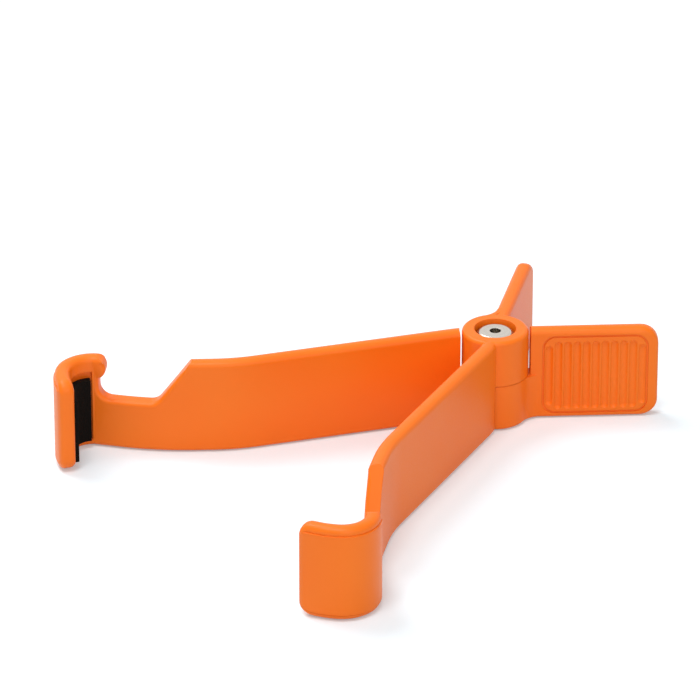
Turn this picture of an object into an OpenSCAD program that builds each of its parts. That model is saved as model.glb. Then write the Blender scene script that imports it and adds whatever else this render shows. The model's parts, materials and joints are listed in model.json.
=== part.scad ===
// Scissor clip for slim devices: two hooked arms turn on one rivet.
// Opened, it stands on its long edges and the slots behind the hooks hold a device.
// Closed, the lips of the hooks meet and the arms lie side by side.
// Origin: middle of the footprint, on the surface that the clip stands on.
// The mirror plane of the arms is X = 0, hooks to the front (-Y), handles to the rear.

/* [Arms] */
// Height of the strip that both arms are moulded from
arm_h = 19.1; // [17:0.1:22]
// Thickness of the strip
wall = 3; // [2.6:0.1:3.4]
// Radius of the strip's lower edges
edge_r = 0.8; // [0.4:0.1:1.2]
// Radius of the strip's upper edges
rim_r = 1.2; // [0.8:0.1:1.2]
// Radius of the hook's lower edges
foot_r = 1; // [0.8:0.1:1.1]
// Angle between the arms in the standing pose
open_angle = 47.2; // [40:0.4:52]
// Play left between the two arms when they lie side by side
fold_gap = 0.3; // [0.2:0.1:0.8]
// Distance from the rivet to the bend where the front part spreads, along the middle part
middle_len = 48; // [40:1:60]
// Angle by which the front part spreads away from the middle part
flare_angle = 14.4; // [12:0.2:18]
// Radius of the bend where the front part spreads, to the middle of the wall
flare_r = 32; // [24:1:40]
// Length of the straight front part
flare_len = 4.2; // [3:0.2:8]

/* [Hook] */
// Outer radius of the hook
hook_r = 7.4; // [7.2:0.1:8]
// Angle by which the arm turns outwards before the hook curls back
lead_angle = 18.7; // [17:0.1:24]
// Radius of that outward bend, to the middle of the wall
lead_r = 54; // [48:1:62]
// Angle that the round part of the hook curls through
hook_sweep = 104; // [90:1:110]
// Radius of the flatter curve between the round part and the lip, to the middle of the wall
lip_r = 14; // [10:0.5:20]
// Angle of that flatter curve
lip_sweep = 17; // [10:1:24]
// Length of the straight lip at the end of the hook
lip_len = 3.1; // [3:0.1:3.6]
// Corner radius at the bottom of the lip
lip_low_r = 2.8; // [1.4:0.1:3]
// Corner radius at the top of the lip
lip_top_r = 2.4; // [1.4:0.1:3]
// Height of the raised panel on the outside of the hook
panel_t = 0.2; // [0.1:0.05:0.4]
// Width of the bead that is left above the raised panel
bead_top = 1.5; // [1:0.1:2.4]
// Width of the bead that is left below the raised panel
bead_low = 1.1; // [0.9:0.1:2]

/* [Slot] */
// Height of the slot's floor above the ground
slot_floor = 10.2; // [9:0.1:12]
// Distance from the start of the hook to the front wall of the slot
slot_ahead = 0.5; // [0:0.1:1.5]
// Width of the slot at its floor, along the arm
slot_w = 12.5; // [11:0.5:14]
// Lean of the slot's rear wall
slot_lean = 37; // [20:1:45]
// Radius of the slot's lower corners
slot_r = 2.4; // [1.4:0.1:3]
// Radius of the round nose that overhangs the front of the slot
nose_r = 2.5; // [2:0.1:3]
// How far the nose overhangs the front of the slot
nose_reach = 1.4; // [0.6:0.05:1.8]

/* [Handle] */
// Length of a handle behind the rivet
handle_len = 31.8; // [30:1:46]
// Angle of a handle to the middle part
handle_angle = 13.7; // [13:0.1:18]
// Corner radius of the handle's end
handle_r = 3.5; // [2:0.1:5]
// Distance from the end of the handle to the groove round the grip
border = 2.2; // [1.6:0.1:3]
// Distance from the groove to the strip's upper edge
border_top = 1.5; // [1.4:0.1:3]
// Distance from the groove to the strip's lower edge
border_low = 1.1; // [1.1:0.1:3]
// Width of the groove
groove_w = 0.4; // [0.3:0.05:0.6]
// Depth of the groove
groove_d = 0.25; // [0.1:0.05:0.4]
// Distance from one flute of the grip to the next
flute_pitch = 1.82; // [1.6:0.02:2.6]
// Radius of a flute
flute_r = 0.9; // [0.7:0.05:1.2]
// Depth of a flute
flute_d = 0.4; // [0.2:0.05:0.5]

/* [Pad] */
// Thickness of the foam pad
pad_t = 1.4; // [1:0.1:2]
// Depth of the pocket that the pad is stuck into
pocket_d = 0.6; // [0.3:0.1:1]
// Height of the foam pad
pad_h = 13.2; // [10:0.2:14]
// Height of the pocket above the ground
pad_z = 1.3; // [1.3:0.1:1.6]
// Room above the pad in its pocket
pocket_room = 1.6; // [0.4:0.1:1.8]
// Layer of glue under the pad
glue_t = 0.05; // [0.05:0.01:0.1]

/* [Pivot] */
// Radius of the round laps that the arms cross with
lap_r = 6.5; // [6:0.1:7]
// Room round a lap, so that the other arm can turn past it
lap_room = 0.5; // [0.4:0.1:1]
// Radius of the fillet between a lap and the face of its handle
lap_fillet = 4; // [2:0.5:5]
// Play between the two laps
lap_gap = 0.1; // [0.06:0.02:0.3]
// Radius of the rivet's shank
shank_r = 2; // [1.6:0.1:2.3]
// Wall of the rivet's hollow end
tube_wall = 0.9; // [0.6:0.05:1.1]
// Depth of the rivet's hollow end
tube_depth = 3; // [2:0.5:6]
// Running clearance round the shank
shank_gap = 0.05; // [0.02:0.01:0.09]
// Radius of the rivet's heads
head_r = 3.6; // [3.2:0.1:4]
// Thickness of the rivet's heads
head_t = 0.9; // [0.6:0.1:1.2]
// Room round the rivet's heads in their recesses
head_room = 0.5; // [0.3:0.1:0.8]
// How deep the heads lie below the edges of the arms
head_sink = 0.5; // [0.3:0.1:1]
// Thickness of the washers
washer_t = 0.4; // [0.3:0.05:0.6]
// Height of the waves in the spring washer, to the middle of its metal
wave_h = 0.35; // [0.2:0.05:0.5]

/* [Hidden] */
$fn = 64;
orange = "#FF7A20";
foam = "#1A1512";
steel = "#C9CCD0";
brass = "#B9A46A";
cut = 1;
seat = 0.02;

// Plan of one arm, folded, with its rivet at [0, 0] and its hook ahead (+Y)
function ahead(a) = [sin(a), cos(a)];
function aside(a) = [cos(a), -sin(a)];
function bend_step(r, a, b) = r * [cos(a) - cos(b), sin(b) - sin(a)];
function turned(p, a) = [p[0] * cos(a) - p[1] * sin(a), p[0] * sin(a) + p[1] * cos(a)];

side = (wall + fold_gap) / 2;
nest_r = 12;
nest_start = (side - nest_r * (1 - cos(handle_angle))) / sin(handle_angle);
hook_turn = flare_angle + lead_angle;
hook_mid = hook_r - panel_t - wall / 2;
flare_from = [side, middle_len];
flare_to = flare_from + bend_step(flare_r, 0, flare_angle);
lead_from = flare_to + flare_len * ahead(flare_angle);
hook_from = lead_from + bend_step(lead_r, flare_angle, hook_turn);
hook_centre = hook_from + hook_mid * [-cos(hook_turn), sin(hook_turn)];

nest_from = nest_start * ahead(handle_angle);
curl_turn = hook_turn - hook_sweep;
lip_turn = curl_turn - lip_sweep;
curl_to = hook_from + bend_step(-hook_mid, hook_turn, curl_turn);
lip_from = curl_to + bend_step(-lip_r, curl_turn, lip_turn);

nose_x = nose_reach - nose_r;
nose_z = arm_h - nose_r;
panel_from = 8;
panel_step = 0.1;
pad_from = 21;
pad_play = 3;
lip_end = 0.6;
pad_room = 0.5;
washer_r = head_r;
lap_h = (arm_h - lap_gap) / 2;
fillet_wall = 1.4;
fillet_x = wall / 2 + lap_fillet - seat;
fillet_y = sqrt(pow(lap_r + lap_fillet - seat, 2) - pow(fillet_x, 2));
field_from = fillet_y + 0.4;
field_to = handle_len - border;
field_corner = 2.4;
flute_inset = 0.95;
flute_low = 0.6;
flute_high = 0.9;
nest_steps = 4;
flare_steps = 5;
lead_steps = 8;
flat_steps = 6;
wave_steps = 48;
end_steps = 8;
corner_steps = 4;
curl_step = 3;

// Reach of the standing clip, which sets where its middle lies
stand_turn = 180 - open_angle / 2;
handle_turn = handle_angle + open_angle / 2;
lip_corner = lip_from + (lip_len - edge_r) * ahead(lip_turn) + (wall / 2 - edge_r) * aside(lip_turn);
front_y = min(turned(hook_centre, stand_turn)[1] - hook_r, turned(lip_corner, stand_turn)[1] - edge_r);
rear_y = (handle_len - edge_r) * cos(handle_turn) + (wall / 2 - edge_r) * sin(handle_turn) + edge_r;
pivot_y = -(front_y + rear_y) / 2;

// Heights at the rivet, from the ground up
lap_z = arm_h / 2;
recess_r = head_r + head_room;
low_recess = head_sink + head_t + seat;
top_head_z = arm_h - head_sink - head_t;
spring_z = top_head_z - seat - washer_t - wave_h;
flat_z = spring_z - seat - washer_t;
top_recess_z = flat_z - seat;

// A station of the sweep: plan point, heading, insets of a free end, lower edge radius, panel, pocket
function station(p, a, ends = [0, 0, 0], foot = foot_r, panel = 0, pocket = 0) =
    [p, a, ends, foot, panel, pocket];

// How far a rounded edge of radius r draws in at the depth d from its end
function inset(d, r) = d >= r ? 0 : r - sqrt(r * r - (r - d) * (r - d));
function end_insets(d, low_r, top_r) = [inset(d, low_r), inset(d, top_r), inset(d, edge_r)];
function end_depth(r, k) = r * (1 - cos(90 * k / end_steps));

// Stations on a bend, and on the round part of the hook at the angle t from its start
function on_bend(p, r, a, b, n, foot = edge_r) =
    [for (i = [0:n])
        let (c = a + (b - a) * i / n)
            station(p + bend_step(r, a, c), c, foot = edge_r + (foot - edge_r) * i / n)];
function on_curl(t, panel, pocket) =
    station(hook_from + bend_step(-hook_mid, hook_turn, hook_turn - t), hook_turn - t,
        panel = panel, pocket = pocket);

// The same for the flatter curve, at the share k of it, and for the lip, at the depth d from its end
function on_flat_curve(k) =
    let (a = curl_turn - k * lip_sweep)
        station(curl_to + bend_step(-lip_r, curl_turn, a), a, panel = panel_t, pocket = pocket_d);
function on_lip(d) =
    station(lip_from + (lip_len - d) * ahead(lip_turn), lip_turn, end_insets(d, lip_low_r, lip_top_r),
        panel = d > bead_low ? panel_t : 0, pocket = d > lip_end ? pocket_d : 0);

// All stations of one arm, from the end of the handle to the end of the lip
function arm_stations() =
    concat(
        [for (k = [0:end_steps])
            let (d = end_depth(handle_r, k))
                station((d - handle_len) * ahead(handle_angle), handle_angle,
                    end_insets(d, handle_r, handle_r), edge_r)],
        on_bend(nest_from, -nest_r, handle_angle, 0, nest_steps),
        on_bend(flare_from, flare_r, 0, flare_angle, flare_steps),
        on_bend(lead_from, lead_r, flare_angle, hook_turn, lead_steps, foot_r),
        [for (t = [curl_step, panel_from - 1]) on_curl(t, 0, 0)],
        [for (t = [panel_from : curl_step : pad_from - 1]) on_curl(t, panel_t, 0)],
        [for (t = [pad_from : curl_step : hook_sweep - 1]) on_curl(t, panel_t, pocket_d)],
        [for (i = [0:flat_steps]) on_flat_curve(i / flat_steps)],
        [for (k = [end_steps:-1:0]) on_lip(end_depth(lip_low_r, k))]
    );

// The strip cut across at a station, anticlockwise: u to the right of the heading, z up
function arc(u, z, r, from) =
    [for (k = [0:corner_steps])
        let (a = from + 90 * k / corner_steps)
            [u + r * cos(a), z + r * sin(a)]];
function strip_outline(s) =
    let (
        low = s[2][0],
        top = arm_h - s[2][1],
        half = wall / 2 - s[2][2],
        low_r = max(panel_step, s[3] - s[2][2]),
        top_r = max(panel_step, rim_r - s[2][2]),
        low_z = low + low_r + panel_step,
        top_z = top - top_r - panel_step,
        panel_z = [max(bead_low, low_z), min(arm_h - bead_top, top_z)],
        pocket_z = [max(pad_z, low_z), min(pad_z + pad_h + pocket_room, top_z)],
        floor_u = s[5] - half
    )
        concat(
            [
                [half, panel_z[0]],
                [half + s[4], panel_z[0] + panel_step],
                [half + s[4], panel_z[1] - panel_step],
                [half, panel_z[1]]
            ],
            arc(half - top_r, top - top_r, top_r, 0),
            arc(top_r - half, top - top_r, top_r, 90),
            [
                [-half, pocket_z[1]],
                [floor_u, pocket_z[1] - panel_step],
                [floor_u, pocket_z[0] + panel_step],
                [-half, pocket_z[0]]
            ],
            arc(low_r - half, low + low_r, low_r, 180),
            arc(half - low_r, low + low_r, low_r, 270)
        );

// An outline set upright at its station
function set_up(s, outline) =
    [for (q = outline) concat(s[0] + q[0] * aside(s[1]), [q[1]])];

// Closed skin over a row of such outlines
module skin_over(rows) {
    n = len(rows);
    m = len(rows[0]);
    rear_tip = (rows[0][0] + rows[0][m / 2]) / 2;
    front_tip = (rows[n - 1][0] + rows[n - 1][m / 2]) / 2;
    sides = [for (i = [0:n - 2], k = [0:m - 1])
        let (a = m * i + k, b = m * i + (k + 1) % m)
            each [[a, b + m, a + m], [a, b, b + m]]];
    rear = [for (k = [0:m - 1]) [m * n, (k + 1) % m, k]];
    front = [for (k = [0:m - 1]) [m * n + 1, m * (n - 1) + k, m * (n - 1) + (k + 1) % m]];
    points = [for (row = rows) each row];
    polyhedron(concat(points, [rear_tip, front_tip]), concat(sides, rear, front), convexity = 8);
}

// Side view of a long shape with round corners, from x = from to x = to
module rounded_field(from, to, low, high, r) {
    translate([from + r, low])
        square([to - from - 2 * r, high - low]);
    translate([from, low + r])
        square([to - from, high - low - 2 * r]);
    for (x = [from + r, to - r], y = [low + r, high - r])
        translate([x, y])
            circle(r);
}

// Turns a side view, drawn backwards along the arm, into a solid across the arm
module across(t) {
    rotate([90, 0, -90])
        linear_extrude(t, center = true)
            children();
}

// Frame of the handle, with +Y ahead to the rivet
module at_handle() {
    rotate(-handle_angle)
        children();
}

// Frame of the slot, square to the chord of the outward bend
module at_slot() {
    translate([hook_from[0], hook_from[1], 0])
        rotate(-flare_angle - lead_angle / 2)
            translate([0, slot_ahead, 0])
                children();
}

// The bent strip of one arm with its raised panel and its pocket, before the rest is cut
module arm_blank() {
    skin_over([for (s = arm_stations()) set_up(s, strip_outline(s))]);
}

// Side view of the slot, x backwards from its front wall
module slot_side() {
    foot_z = slot_floor + slot_r;
    rear = [slot_w - slot_r + slot_r * cos(slot_lean), foot_z - slot_r * sin(slot_lean)];
    rise = arm_h + cut - rear[1];
    difference() {
        union() {
            translate([slot_r, foot_z])
                circle(slot_r);
            translate([slot_w - slot_r, foot_z])
                circle(slot_r);
            polygon([
                [nose_x, nose_z],
                [0, nose_z],
                [0, foot_z],
                [slot_r, slot_floor],
                [slot_w - slot_r, slot_floor],
                rear,
                rear + rise * [tan(slot_lean), 1],
                [nose_x, arm_h + cut]
            ]);
        }
        translate([nose_x, nose_z])
            circle(nose_r);
    }
}

// Foam pad: it follows the hollow of the hook and ends before the end of the lip
module pad_blank() {
    back = pocket_d - glue_t - wall / 2;
    low = pad_z + panel_step + glue_t;
    outline = [[back, low], [back, low + pad_h], [back - pad_t, low + pad_h], [back - pad_t, low]];
    turns = [for (t = [pad_from + pad_play : curl_step : hook_sweep - 1]) t];
    stations = concat(
        [for (t = turns) on_curl(t, 0, 0)],
        [for (i = [0:flat_steps]) on_flat_curve(i / flat_steps)],
        [on_lip(lip_end + pad_room)]
    );
    skin_over([for (s = stations) set_up(s, outline)]);
}

// Groove round the grip of the handle, and the flutes in it
module grip_groove() {
    half = groove_w / 2;
    low = border_low;
    high = arm_h - border_top;
    at_handle()
        translate([-wall / 2, 0, 0])
            across(2 * groove_d)
                difference() {
                    rounded_field(field_from - half, field_to + half, low - half, high + half, field_corner + half);
                    rounded_field(field_from + half, field_to - half, low + half, high - half, field_corner - half);
                }
}

module flutes() {
    count = floor((field_to - field_from - 2 * flute_inset) / flute_pitch);
    low = border_low + flute_low + flute_r;
    high = arm_h - border_top - flute_high - flute_r;
    at_handle()
        for (i = [0:count])
            translate([flute_d - flute_r - wall / 2, flute_inset + i * flute_pitch - field_to, 0])
                let (short = i == 0 || i == count ? flute_high : 0) {
                    translate([0, 0, low + short])
                        cylinder(h = high - low - 2 * short, r = flute_r, $fn = 32);
                    for (z = [low + short, high - short])
                        translate([0, 0, z])
                            sphere(flute_r, $fn = 32);
                }
}

// Section of a lap or of its fillet, from its middle or its hidden side at x = 0 outwards
module lap_section(w, h) {
    square([w - edge_r, h]);
    translate([0, edge_r])
        square([w, h - edge_r]);
    translate([w - edge_r, edge_r])
        circle(edge_r);
}

// Half-height round lap of one arm. A fillet joins it to the face of its handle on the side that the
// other arm never reaches; its top stays just below the top of the lap.
module lap(low) {
    translate([0, 0, low ? 0 : arm_h])
        mirror([0, 0, low ? 0 : 1]) {
            rotate_extrude()
                lap_section(lap_r, lap_h);
            at_handle()
                translate([-fillet_x, -fillet_y, 0])
                    rotate_extrude(angle = atan2(fillet_y, fillet_x))
                        translate([lap_fillet + fillet_wall, 0])
                            mirror([1, 0])
                                lap_section(fillet_wall, lap_h - lap_gap);
        }
}

// Space that the other arm's lap turns in
module lap_space(low) {
    translate([0, 0, low ? lap_z - lap_gap / 2 : -cut])
        cylinder(h = arm_h / 2 + lap_gap / 2 + cut, r = lap_r + lap_room);
}

// Recess for the rivet's head and washers
module head_recess(low) {
    translate([0, 0, low ? -cut : top_recess_z])
        cylinder(h = low ? low_recess + cut : arm_h, r = recess_r);
}

// One arm with everything cut; low says which half of the height its lap has
module arm(low) {
    difference() {
        union() {
            difference() {
                arm_blank();
                lap_space(low);
            }
            lap(low);
        }
        translate([0, 0, -cut])
            cylinder(h = arm_h + 2 * cut, r = shank_r + shank_gap);
        head_recess(low);
        at_slot()
            across(4 * wall)
                slot_side();
        grip_groove();
        flutes();
    }
}

// Places what was drawn folded as the left arm stands, and as the right arm stands
module stand_left() {
    translate([0, pivot_y, 0])
        rotate(stand_turn)
            children();
}

module stand_right() {
    translate([0, pivot_y, 0])
        mirror([1, 0, 0])
            rotate(stand_turn)
                children();
}

module left_arm() {
    color(orange)
        stand_left()
            arm(true);
}

module right_arm() {
    color(orange)
        stand_right()
            arm(false);
}

module left_pad() {
    color(foam)
        stand_left()
            pad_blank();
}

module right_pad() {
    color(foam)
        stand_right()
            pad_blank();
}

// Semi-tubular rivet: flat head below, its open end rolled over the washers
module pivot_rivet() {
    tube_r = shank_r - tube_wall;
    top = top_head_z + head_t;
    color(steel)
        translate([0, pivot_y, 0])
            rotate_extrude() {
                translate([0, head_sink])
                    square([head_r, head_t]);
                translate([0, head_sink])
                    square([shank_r, top - tube_depth - head_sink]);
                translate([tube_r, head_sink])
                    square([shank_r - tube_r, top - head_sink]);
                translate([tube_r, top_head_z])
                    square([head_r - head_t - tube_r, head_t]);
                translate([head_r - head_t, top_head_z])
                    intersection() {
                        circle(head_t);
                        square([head_t, head_t]);
                    }
            }
}

// Plain washer on the floor of the upper recess
module flat_washer() {
    color(steel)
        translate([0, pivot_y, flat_z])
            difference() {
                cylinder(h = washer_t, r = washer_r);
                translate([0, 0, -cut])
                    cylinder(h = washer_t + 2 * cut, r = shank_r + 2 * shank_gap);
            }
}

// Wave washer: a flat ring with three waves, built as one closed skin
module spring_washer() {
    waves = 3;
    inner = shank_r + 2 * shank_gap;
    ring = [for (i = [0:wave_steps - 1])
        let (a = 360 * i / wave_steps, z = wave_h / 2 * (1 + cos(waves * a)))
            each [
                [inner * cos(a), inner * sin(a), z],
                [washer_r * cos(a), washer_r * sin(a), z],
                [washer_r * cos(a), washer_r * sin(a), z + washer_t],
                [inner * cos(a), inner * sin(a), z + washer_t]
            ]];
    skin = [for (i = [0:wave_steps - 1], k = [0:3])
        let (j = (i + 1) % wave_steps, m = (k + 1) % 4)
            each [[4 * i + k, 4 * j + m, 4 * j + k], [4 * i + k, 4 * i + m, 4 * j + m]]];
    color(brass)
        translate([0, pivot_y, spring_z])
            polyhedron(ring, skin);
}

left_arm();
right_arm();
left_pad();
right_pad();
pivot_rivet();
flat_washer();
spring_washer();
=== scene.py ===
# %% [markdown]
# # Folding clip that stands on a table
# The object is a scissor-shaped clip of two orange mouldings that turn on one rivet.
# Each arm ends in a hook with a black foam pad in its hollow, and has a slot behind the hook.
# The CAD model already has the true shapes, so this lesson is about finish: how to give plastic,
# foam and steel a real surface, how to round and smooth what CAD leaves sharp, and how to light a
# small object on a white table.

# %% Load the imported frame
import json
import math

import bmesh
import bpy
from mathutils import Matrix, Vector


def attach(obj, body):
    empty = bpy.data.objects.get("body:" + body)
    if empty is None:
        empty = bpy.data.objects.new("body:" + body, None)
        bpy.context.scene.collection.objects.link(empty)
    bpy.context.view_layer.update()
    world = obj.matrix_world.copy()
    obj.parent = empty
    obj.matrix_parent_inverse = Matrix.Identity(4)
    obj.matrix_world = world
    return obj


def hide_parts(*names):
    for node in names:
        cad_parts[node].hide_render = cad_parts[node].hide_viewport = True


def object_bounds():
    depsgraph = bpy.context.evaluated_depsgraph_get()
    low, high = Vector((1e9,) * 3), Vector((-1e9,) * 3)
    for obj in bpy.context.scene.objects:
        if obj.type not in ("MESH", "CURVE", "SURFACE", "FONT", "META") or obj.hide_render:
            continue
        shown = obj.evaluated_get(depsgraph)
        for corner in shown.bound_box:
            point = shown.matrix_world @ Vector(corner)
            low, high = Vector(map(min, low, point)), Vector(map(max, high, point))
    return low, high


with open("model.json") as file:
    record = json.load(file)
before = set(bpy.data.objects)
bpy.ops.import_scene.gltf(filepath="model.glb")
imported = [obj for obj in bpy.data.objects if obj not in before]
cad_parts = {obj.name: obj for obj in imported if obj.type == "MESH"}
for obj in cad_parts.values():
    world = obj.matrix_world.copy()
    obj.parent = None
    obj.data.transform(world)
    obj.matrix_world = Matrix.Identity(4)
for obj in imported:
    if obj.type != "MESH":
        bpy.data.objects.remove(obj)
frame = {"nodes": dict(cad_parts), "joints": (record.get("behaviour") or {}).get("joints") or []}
cad_low, cad_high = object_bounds()
mm = 0.001
middle = [(low + high) / 2 for low, high in zip(cad_low, cad_high)]
print("CAD box in mm:", [round((high - low) / mm, 1) for low, high in zip(cad_low, cad_high)])

# %% [markdown]
# ## The camera
# The photograph was taken from the right of the hooks, a little above the table, through a long
# lens: the object's parallel edges hardly run together. A long focal length with a distant
# camera gives that. The place is written in the object's own frame, in metres, and the turn is
# in degrees: first how far the lens looks down, then which way it faces round the vertical.

# %% Camera
camera_place = (0.77452, -0.66386, 0.54787)
look_down = 27.22
look_round = 49.84
camera_data = bpy.data.cameras.new("studio_camera")
camera_data.sensor_width = 36
camera_data.lens = 308.6
camera_data.clip_start = 0.1
camera_data.clip_end = 20
camera = bpy.data.objects.new("studio_camera", camera_data)
camera.location = camera_place
camera.rotation_euler = (math.radians(90 - look_down), 0, math.radians(look_round))
bpy.context.scene.collection.objects.link(camera)
bpy.context.scene.camera = camera
print("camera", round(camera.location.length, 3), "m from the middle of the footprint")

# %% [markdown]
# ## Colours and shader nodes
# A colour given in hex is written in sRGB, while the renderer counts light in a linear
# scale, so one function turns the hex value over. A second small function adds any shader node,
# sets its options and joins its inputs, which keeps every material below short enough to read.
# A Mix node has several inputs named A and B, so its two colours are reached by their numbers.

# %% Helpers for colours and nodes
def linear(hex_colour):
    """sRGB hex such as FF7A20 to linear red, green, blue and alpha."""
    parts = [int(hex_colour[i:i + 2], 16) / 255 for i in (0, 2, 4)]
    light = [c / 12.92 if c <= 0.04045 else ((c + 0.055) / 1.055) ** 2.4 for c in parts]
    return (*light, 1.0)


def add(tree, kind, options=None, inputs=None):
    """A shader node with its options, and its inputs set to values or joined to sockets."""
    made = tree.nodes.new(kind)
    for name, value in (options or {}).items():
        setattr(made, name, value)
    for name, value in (inputs or {}).items():
        if isinstance(value, bpy.types.NodeSocket):
            tree.links.new(value, made.inputs[name])
        else:
            made.inputs[name].default_value = value
    return made


def new_material(name):
    """An empty node material and its tree."""
    material = bpy.data.materials.new(name)
    material.use_nodes = True
    material.node_tree.nodes.clear()
    return material, material.node_tree


mix_a, mix_b = 6, 7
print("middle grey in sRGB is", round(linear("808080")[0], 3), "in linear light")

# %% [markdown]
# ## Moulded ABS
# Both arms are moulded in one piece of opaque orange ABS. ABS comes out of a polished mould with
# a soft shine, broken up by a grain so fine that it only blurs the highlights. The eye reads
# three things: a highlight that is wide but still has an edge, a very faint unevenness where the
# plastic shrank as it cooled, and rims that are never sharp. The Bevel node bends the normals
# at every edge as if it had a radius of a fifth of a millimetre, which costs no faces.

# %% Moulded ABS
grain_size = 0.35 * mm
grain_depth = 0.03 * mm
shrink_size = 14 * mm
shrink_depth = 0.05 * mm
rim_radius = 0.2 * mm


def moulded_abs():
    material, tree = new_material("moulded_abs_orange")
    place = add(tree, "ShaderNodeTexCoord")
    grain = add(tree, "ShaderNodeTexNoise", inputs={
        "Vector": place.outputs["Object"], "Scale": 1 / grain_size, "Detail": 2.0})
    shrink = add(tree, "ShaderNodeTexNoise", inputs={
        "Vector": place.outputs["Object"], "Scale": 1 / shrink_size, "Detail": 1.0})
    tone = add(tree, "ShaderNodeMapRange", inputs={
        "Value": shrink.outputs["Fac"], "From Min": 0.3, "From Max": 0.7})
    colour = add(tree, "ShaderNodeMix", {"data_type": "RGBA"}, {
        "Factor": tone.outputs["Result"]})
    colour.inputs[mix_a].default_value = linear("FF7610")
    colour.inputs[mix_b].default_value = linear("FF7A14")
    gloss = add(tree, "ShaderNodeMapRange", inputs={
        "Value": grain.outputs["Fac"], "From Min": 0.3, "From Max": 0.7,
        "To Min": 0.36, "To Max": 0.44})
    rounded = add(tree, "ShaderNodeBevel", {"samples": 6}, {"Radius": rim_radius})
    fine = add(tree, "ShaderNodeBump", inputs={
        "Height": grain.outputs["Fac"], "Normal": rounded.outputs["Normal"],
        "Strength": 0.06, "Distance": grain_depth})
    waves = add(tree, "ShaderNodeBump", inputs={
        "Height": shrink.outputs["Fac"], "Normal": fine.outputs["Normal"],
        "Strength": 0.25, "Distance": shrink_depth})
    shader = add(tree, "ShaderNodeBsdfPrincipled", inputs={
        "Base Color": colour.outputs[2], "Roughness": gloss.outputs["Result"],
        "Normal": waves.outputs["Normal"], "IOR": 1.53, "Specular IOR Level": 0.26})
    add(tree, "ShaderNodeOutputMaterial", inputs={"Surface": shader.outputs["BSDF"]})
    return material


abs_orange = moulded_abs()
print("material", abs_orange.name)

# %% [markdown]
# ## EVA foam
# The pads are cut from sheets of closed-cell EVA foam, stuck into pockets. Foam has no shine at
# all: its surface is a carpet of broken cells a third of a millimetre wide, each a shallow pit.
# A Voronoi pattern draws such cells as a bump, and once more in the colour, where the middle of
# each cell is painted darker than its wall: painted shade in the pits.

# %% EVA foam
cell_size = 0.34 * mm
cell_depth = 0.06 * mm


def eva_foam():
    material, tree = new_material("eva_foam_black")
    place = add(tree, "ShaderNodeTexCoord")
    cells = add(tree, "ShaderNodeTexVoronoi", inputs={
        "Vector": place.outputs["Object"], "Scale": 1 / cell_size})
    # The middle of each cell is painted darker than its wall: painted shade in the pits of the
    # foam.
    wall = add(tree, "ShaderNodeMapRange", inputs={
        "Value": cells.outputs["Distance"], "From Min": 0.1, "From Max": 0.7})
    colour = add(tree, "ShaderNodeMix", {"data_type": "RGBA"}, {
        "Factor": wall.outputs["Result"]})
    colour.inputs[mix_a].default_value = linear("0B0806")
    colour.inputs[mix_b].default_value = linear("15100D")
    pits = add(tree, "ShaderNodeBump", inputs={
        "Height": cells.outputs["Distance"], "Strength": 0.5, "Distance": cell_depth})
    shader = add(tree, "ShaderNodeBsdfPrincipled", inputs={
        "Base Color": colour.outputs[2], "Roughness": 0.92,
        "Normal": pits.outputs["Normal"], "IOR": 1.45, "Specular IOR Level": 0.12})
    add(tree, "ShaderNodeOutputMaterial", inputs={"Surface": shader.outputs["BSDF"]})
    return material


foam_black = eva_foam()
print("material", foam_black.name)

# %% [markdown]
# ## Nickel-plated steel
# The rivet and its washers are turned and stamped steel with a thin plating of nickel: a warm
# grey metal with a satin shine. Turning leaves fine rings round the axis. Rings round an upright
# axis come from a Wave texture of the ring kind, whose vector is moved so that the axis runs
# through the rivet. Real turning rings are too fine to show in a picture of this size, so they
# are drawn coarser.

# %% Nickel-plated steel
pivot = frame["joints"][0]["pos_m"]
ring_scale = 1 / (3.2 * mm)
ring_depth = 0.02 * mm
steel_rim_radius = 0.12 * mm


def plated_steel():
    material, tree = new_material("nickel_plated_steel")
    place = add(tree, "ShaderNodeTexCoord")
    centred = add(tree, "ShaderNodeMapping", inputs={
        "Vector": place.outputs["Object"], "Location": [-c for c in pivot]})
    rings = add(tree, "ShaderNodeTexWave", {"wave_type": "RINGS", "rings_direction": "Z"}, {
        "Vector": centred.outputs["Vector"], "Scale": ring_scale, "Distortion": 0.4})
    satin = add(tree, "ShaderNodeMapRange", inputs={
        "Value": rings.outputs["Fac"], "To Min": 0.2, "To Max": 0.34})
    rounded = add(tree, "ShaderNodeBevel", {"samples": 6}, {"Radius": steel_rim_radius})
    grooves = add(tree, "ShaderNodeBump", inputs={
        "Height": rings.outputs["Fac"], "Normal": rounded.outputs["Normal"],
        "Strength": 0.15, "Distance": ring_depth})
    shader = add(tree, "ShaderNodeBsdfPrincipled", inputs={
        "Base Color": linear("CFC9BF"), "Metallic": 1.0,
        "Roughness": satin.outputs["Result"], "Normal": grooves.outputs["Normal"]})
    add(tree, "ShaderNodeOutputMaterial", inputs={"Surface": shader.outputs["BSDF"]})
    return material


steel = plated_steel()
print("material", steel.name, "with its rings round", [round(c / mm, 1) for c in pivot], "mm")

# %% [markdown]
# ## The rivet and its washers keep their CAD shapes
# A CAD mesh comes as loose triangles. Three modifiers make it shade like the real piece, without
# touching its vertices: Weld joins the triangles, Edge Split opens only the edges that are really
# sharp, and Weighted Normal lets the large faces decide how the small ones beside them shade, so
# flat faces stay flat and round ones look round.

# %% Finish the steel pieces
weld_distance = 0.004 * mm
crease_angle = math.radians(34)
face_weight = 80


def smooth_shading(piece):
    """The modifiers that let joined triangles shade as flat and round faces."""
    weld = piece.modifiers.new("joined triangles", "WELD")
    weld.merge_threshold = weld_distance
    split = piece.modifiers.new("sharp edges", "EDGE_SPLIT")
    split.split_angle = crease_angle
    split.use_edge_sharp = False
    weighted = piece.modifiers.new("large faces lead", "WEIGHTED_NORMAL")
    weighted.keep_sharp = True
    weighted.weight = face_weight


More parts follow.
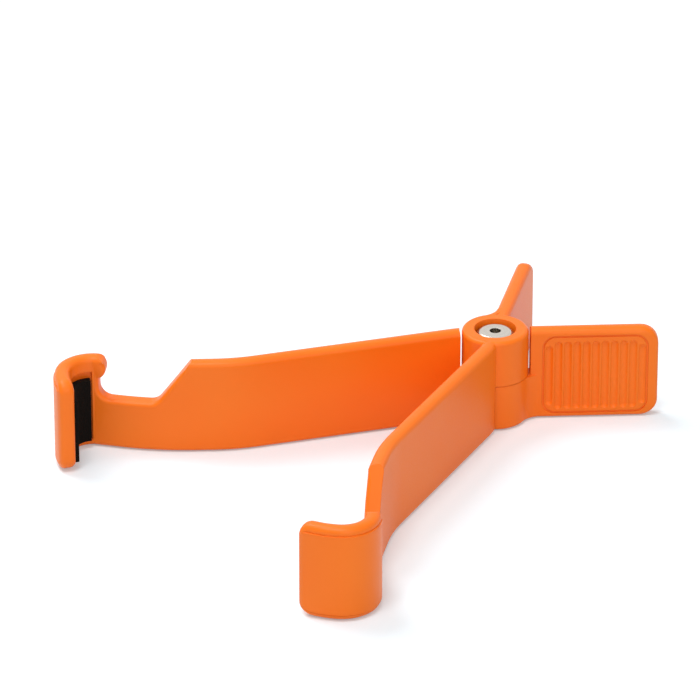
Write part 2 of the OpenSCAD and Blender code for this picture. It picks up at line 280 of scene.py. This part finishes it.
for name in ("pivot_rivet", "flat_washer", "spring_washer"):
    piece = frame["nodes"][name]
    piece.data.materials.clear()
    piece.data.materials.append(steel)
    smooth_shading(piece)
    print("finished", name, "with", len(piece.data.polygons), "faces")

# %% [markdown]
# ## From a CAD solid to a piece that can be shaped
# The arms and the pads need round edges that their solids lack. Modelling them again by eye would
# lose the true sizes, and a bevel can't work on loose triangles. So each one starts from a copy
# of its solid: points in one place are joined, and triangles in one plane become a whole face
# again. The finished mesh then takes the solid's place on the same moving body.

# %% Helpers for the copied solids
join_distance = 0.002 * mm
flat_angle = math.radians(0.5)


def merged_copy(node):
    """A bmesh of a CAD node, with its points joined and its flat faces whole again."""
    shape = bmesh.new()
    shape.from_mesh(frame["nodes"][node].data)
    bmesh.ops.remove_doubles(shape, verts=shape.verts, dist=join_distance)
    bmesh.ops.dissolve_limit(
        shape, angle_limit=flat_angle, verts=shape.verts, edges=shape.edges)
    return shape


def round_edges(shape, edges, radius, steps, clamp):
    """Replace edges by rounds of a radius."""
    bmesh.ops.bevel(
        shape, geom=edges, offset=radius, offset_type="OFFSET", segments=steps,
        profile=0.5, affect="EDGES", material=-1, clamp_overlap=clamp)


def new_piece(shape, name, material):
    """A smooth object made from a bmesh, whose many-sided faces are cut into triangles."""
    bmesh.ops.triangulate(shape, faces=[f for f in shape.faces if len(f.verts) > 4])
    bmesh.ops.recalc_face_normals(shape, faces=shape.faces)
    mesh = bpy.data.meshes.new(name)
    shape.to_mesh(mesh)
    shape.free()
    mesh.shade_smooth()
    mesh.materials.append(material)
    piece = bpy.data.objects.new(name, mesh)
    bpy.context.scene.collection.objects.link(piece)
    return piece


def take_place(piece, side, node):
    """Let a piece ride on its arm's body in place of a CAD node."""
    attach(piece, side)
    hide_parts(node)
    print(piece.name, "stands for", node, "with", len(piece.data.polygons), "faces")


print("pieces to copy:", [name for name in frame["nodes"] if name.endswith(("arm", "pad"))])

# %% [markdown]
# ## Directions of the slot
# The slot is cut straight through the strip, which stands at an angle to both axes. Two
# directions make its faces easy to tell apart: across the strip, towards the other arm, and
# ahead along it, towards the hook. The right arm is the mirror image of the left one, so its X
# is turned round first.

# %% Directions of the slot
slot_turn = math.radians(47.35)
slot_across = (math.cos(slot_turn), -math.sin(slot_turn))
slot_ahead = (-math.sin(slot_turn), -math.cos(slot_turn))


def along(vector, direction, side):
    """A place or a normal measured along a direction of the left slot, or its mirror image."""
    return (-vector.x if side == "right" else vector.x) * direction[0] + vector.y * direction[1]


print("the slot runs ahead along", [round(c, 3) for c in slot_ahead])

# %% [markdown]
# ## The edges of the slot
# A mould has no sharp corners, and the edges of the slot are round enough to see: the strip's
# rounded rim runs on down the nose, along the slot's floor and up its slope. In CAD the slot is a
# plain cut, so its edges are rounded here. A modifier with an angle limit would take every sharp
# edge of the arm. The right ones are found by their faces instead: one face is the wall of the
# cut, which runs straight across the strip, and the other is a side of the strip.

# %% Find the edges of the slot
slot_bottom = 9.9 * mm
slot_rear_y = -25 * mm
slot_front_y = -41 * mm
sharp_corner = math.radians(50)
wall_slack = 0.12
upright_slack = 0.1
side_facing = 0.2


def cut_edges(shape, side, inside):
    """The edges between the wall of the slot and the inner or outer side of the strip."""
    found = []
    for edge in shape.edges:
        centre = (edge.verts[0].co + edge.verts[1].co) / 2
        if centre.z < slot_bottom or not slot_front_y < centre.y < slot_rear_y:
            continue
        if edge.calc_face_angle() < sharp_corner:
            continue
        wall, face = sorted(edge.link_faces, key=lambda f: abs(along(f.normal, slot_across, side)))
        straight = abs(along(wall.normal, slot_across, side)) < wall_slack
        upright = abs(face.normal.z) < upright_slack
        facing = along(face.normal, slot_across, side) * (1 if inside else -1)
        if straight and upright and facing > side_facing:
            found.append(edge)
    return found


for side in ("left", "right"):
    trial = merged_copy(side + "_arm")
    print(side, "slot has", len(cut_edges(trial, side, True)), "inner edges before any work")
    trial.free()

# %% [markdown]
# ## Room for the radius
# The inner side of the strip bends just ahead of the slot, and CAD draws that bend as narrow
# upright facets. A round wider than a facet would fold over it and leave a dark crack. So the
# facets beside the slot are first joined into one face, which is as flat as the round needs.

# %% Make room beside the slot
room_ahead = 0.98 * mm
room_behind = 2 * mm
gentle_bend = math.radians(6)
inner_facing = 0.1
upright_run = 0.5


def clear_the_way(shape, side, edges):
    """Join the narrow facets on the inner side beside the slot, so that a radius fits there."""
    front = max(along(v.co, slot_ahead, side) for e in edges for v in e.verts)
    narrow = []
    for edge in shape.edges:
        reach = [along(v.co, slot_ahead, side) - front for v in edge.verts]
        run = along((edge.verts[1].co - edge.verts[0].co).normalized(), slot_ahead, side)
        inner = min(along(f.normal, slot_across, side) for f in edge.link_faces) > inner_facing
        beside = min(reach) > -room_behind and max(reach) < room_ahead
        gentle = edge.calc_face_angle() < gentle_bend
        if inner and gentle and abs(run) < upright_run and beside:
            narrow.append(edge)
    bmesh.ops.dissolve_edges(shape, edges=narrow, use_verts=True, use_face_split=False)
    print(side, "arm: facets joined at", len(narrow), "edges")


print("room of", round((room_ahead + room_behind) / mm, 2), "mm along the strip")

# %% [markdown]
# ## The line round the raised panel
# On the real hook a fine dark line runs below the upper bead and above the lower one. It reads
# as a shallow groove at the foot of the raised panel, and it has to be real geometry to catch a
# shadow: a line of dark paint would stay dark from every side. The panel's foot is already a row
# of points in the copy, so those points are pushed a little way into the plastic.

# %% Groove round the raised panel
panel_feet = (
    {"height": 1.15 * mm, "depth": 0.22 * mm, "bead_above": False},
    {"height": 17.55 * mm, "depth": 0.12 * mm, "bead_above": True},
)
foot_slack = 0.04 * mm
step_slope = (0.8, 0.95)
wall_slope = 0.5
hook_starts_y = -35 * mm


def panel_groove(shape, side):
    """Push the foot of the hook's raised panel into the plastic."""
    for foot in panel_feet:
        line = set()
        for face in shape.faces:
            centre = face.calc_center_median()
            step = step_slope[0] < abs(face.normal.z) < step_slope[1]
            if step and abs(centre.z - foot["height"]) < foot_slack and centre.y < hook_starts_y:
                line.update(
                    v for v in face.verts if (v.co.z > centre.z) == foot["bead_above"])
        for point in line:
            walls = [f.normal for f in point.link_faces if abs(f.normal.z) < wall_slope]
            if walls:
                out = sum(walls[1:], walls[0].copy())
                out.z = 0
                point.co -= out.normalized() * foot["depth"]
        print(side, "arm: groove at", round(foot["height"] / mm, 2), "mm has", len(line), "points")


print("grooves at heights of", [round(foot["height"] / mm, 2) for foot in panel_feet], "mm")

# %% [markdown]
# ## The arms
# Now the steps come together: copy, groove, room, rounds. On the inside the radius is large. On
# the outside it is small, because the hook's raised panel starts right beside the slot.

# %% Arms
slot_rounds = (
    {"inside": True, "radius": 0.9 * mm, "steps": 5},
    {"inside": False, "radius": 0.2 * mm, "steps": 2},
)

for side in ("left", "right"):
    shape = merged_copy(side + "_arm")
    panel_groove(shape, side)
    clear_the_way(shape, side, cut_edges(shape, side, True))
    for slot_round in slot_rounds:
        edges = cut_edges(shape, side, slot_round["inside"])
        round_edges(shape, edges, slot_round["radius"], slot_round["steps"], False)
        print(side, "arm:", len(edges), "edges rounded")
    arm = new_piece(shape, side + "_moulding", abs_orange)
    smooth_shading(arm)
    take_place(arm, side, side + "_arm")

# %% [markdown]
# ## The foam pads
# A pad is a strip of foam, cut with a knife and bent into the hollow of its hook. Its cut edges
# are soft, because foam gives way under the knife. Every sharp edge of the copied solid is such a
# cut, so here an angle is all it takes to find them.

# %% Foam pads
cut_radius = 0.35 * mm
cut_steps = 4

for side in ("left", "right"):
    shape = merged_copy(side + "_pad")
    cuts = [e for e in shape.edges if e.calc_face_angle(0) > sharp_corner]
    round_edges(shape, cuts, cut_radius, cut_steps, True)
    pad = new_piece(shape, side + "_foam_pad", foam_black)
    weighted = pad.modifiers.new("large faces lead", "WEIGHTED_NORMAL")
    weighted.weight = face_weight
    take_place(pad, side, side + "_pad")

# %% [markdown]
# ## White table
# The clip stands on a seamless white sheet. In a photograph such a sheet burns out to pure
# white while it still holds the soft shadow of the object. The floor is plain pale paint, and
# only what the camera, a reflection or glass sees of it gets a little extra glow, so that the
# object's own lighting stays at its plain level. The paint is a little blue, which takes back
# some of the orange that the plastic throws into the shadow.

# %% Floor
floor_half = 3
floor_drop = 0.2 * mm
floor_glow = 0.23


def seen_directly(tree):
    """1 for rays that come from the camera, a mirror-like surface or glass, otherwise 0."""
    path = add(tree, "ShaderNodeLightPath")
    either = add(tree, "ShaderNodeMath", {"operation": "MAXIMUM"})
    tree.links.new(path.outputs["Is Camera Ray"], either.inputs[0])
    tree.links.new(path.outputs["Is Glossy Ray"], either.inputs[1])
    any_of = add(tree, "ShaderNodeMath", {"operation": "MAXIMUM"})
    tree.links.new(either.outputs[0], any_of.inputs[0])
    tree.links.new(path.outputs["Is Transmission Ray"], any_of.inputs[1])
    return any_of.outputs[0]


def white_sheet():
    material, tree = new_material("matt_white_paint")
    paint = add(tree, "ShaderNodeBsdfDiffuse", inputs={"Color": linear("DFECF2")})
    level = add(tree, "ShaderNodeMapRange", inputs={
        "Value": seen_directly(tree), "To Max": floor_glow})
    glow = add(tree, "ShaderNodeEmission", inputs={
        "Color": linear("FFFFFF"), "Strength": level.outputs["Result"]})
    both = add(tree, "ShaderNodeAddShader")
    tree.links.new(paint.outputs[0], both.inputs[0])
    tree.links.new(glow.outputs[0], both.inputs[1])
    add(tree, "ShaderNodeOutputMaterial", inputs={"Surface": both.outputs[0]})
    return material


sheet = bmesh.new()
bmesh.ops.create_grid(sheet, x_segments=1, y_segments=1, size=floor_half)
floor_mesh = bpy.data.meshes.new("floor")
sheet.to_mesh(floor_mesh)
sheet.free()
floor_mesh.materials.append(white_sheet())
floor = bpy.data.objects.new("floor", floor_mesh)
floor.location = (0, 0, -floor_drop)
bpy.context.scene.collection.objects.link(floor)
print("floor", 2 * floor_half, "m wide")

# %% [markdown]
# ## White room
# The room round the table is white too. What the camera sees of it is pure white, and what
# lights the object is much dimmer, so that the lamps below decide where light and shadow fall.

# %% World
fill_level = 0.38
seen_level = 1.0
world = bpy.data.worlds.new("white_room")
world.use_nodes = True
room = world.node_tree
room.nodes.clear()
dim = add(room, "ShaderNodeBackground", inputs={
    "Color": linear("FFFFFF"), "Strength": fill_level})
bright = add(room, "ShaderNodeBackground", inputs={
    "Color": linear("FFFFFF"), "Strength": seen_level})
choice = add(room, "ShaderNodeMixShader")
room.links.new(seen_directly(room), choice.inputs[0])
room.links.new(dim.outputs[0], choice.inputs[1])
room.links.new(bright.outputs[0], choice.inputs[2])
add(room, "ShaderNodeOutputWorld", inputs={"Surface": choice.outputs[0]})
bpy.context.scene.world = world
print("room lights the object at", fill_level, "and is seen at", seen_level)

# %% [markdown]
# ## Soft studio light
# Product photographs use large soft boxes. The strongest one hangs high on the left and throws a
# short soft shadow to the right. A second one hangs overhead and gives the upper rims their
# highlights. A weak one in front lifts the faces that look at the camera, and the white room
# fills the rest. Together they let an empty table render just white.

# %% Lamps
def soft_box(name, place, width, power):
    """A square area lamp at a place in metres, facing the middle of the object."""
    lamp = bpy.data.lights.new(name, "AREA")
    lamp.size = width
    lamp.energy = power
    box = bpy.data.objects.new(name, lamp)
    box.location = place
    aim = [m - p for m, p in zip(middle, place)]
    level = math.hypot(aim[0], aim[1])
    box.rotation_euler = (math.atan2(level, -aim[2]), 0, math.atan2(-aim[0], aim[1]))
    bpy.context.scene.collection.objects.link(box)
    print(name, width, "m wide,", power, "W")


soft_box("key_box", (-0.5, -0.1, 0.85), 0.5, 4.7)
soft_box("top_box", (0.15, -0.3, 0.95), 0.35, 3.7)
soft_box("front_box", (0.8, -0.35, 0.45), 0.5, 1.75)

# %% [markdown]
# ## Colour management
# The Standard view transform shows each colour as it is written, with no film curve.

bpy.context.scene.view_settings.view_transform = "Standard"
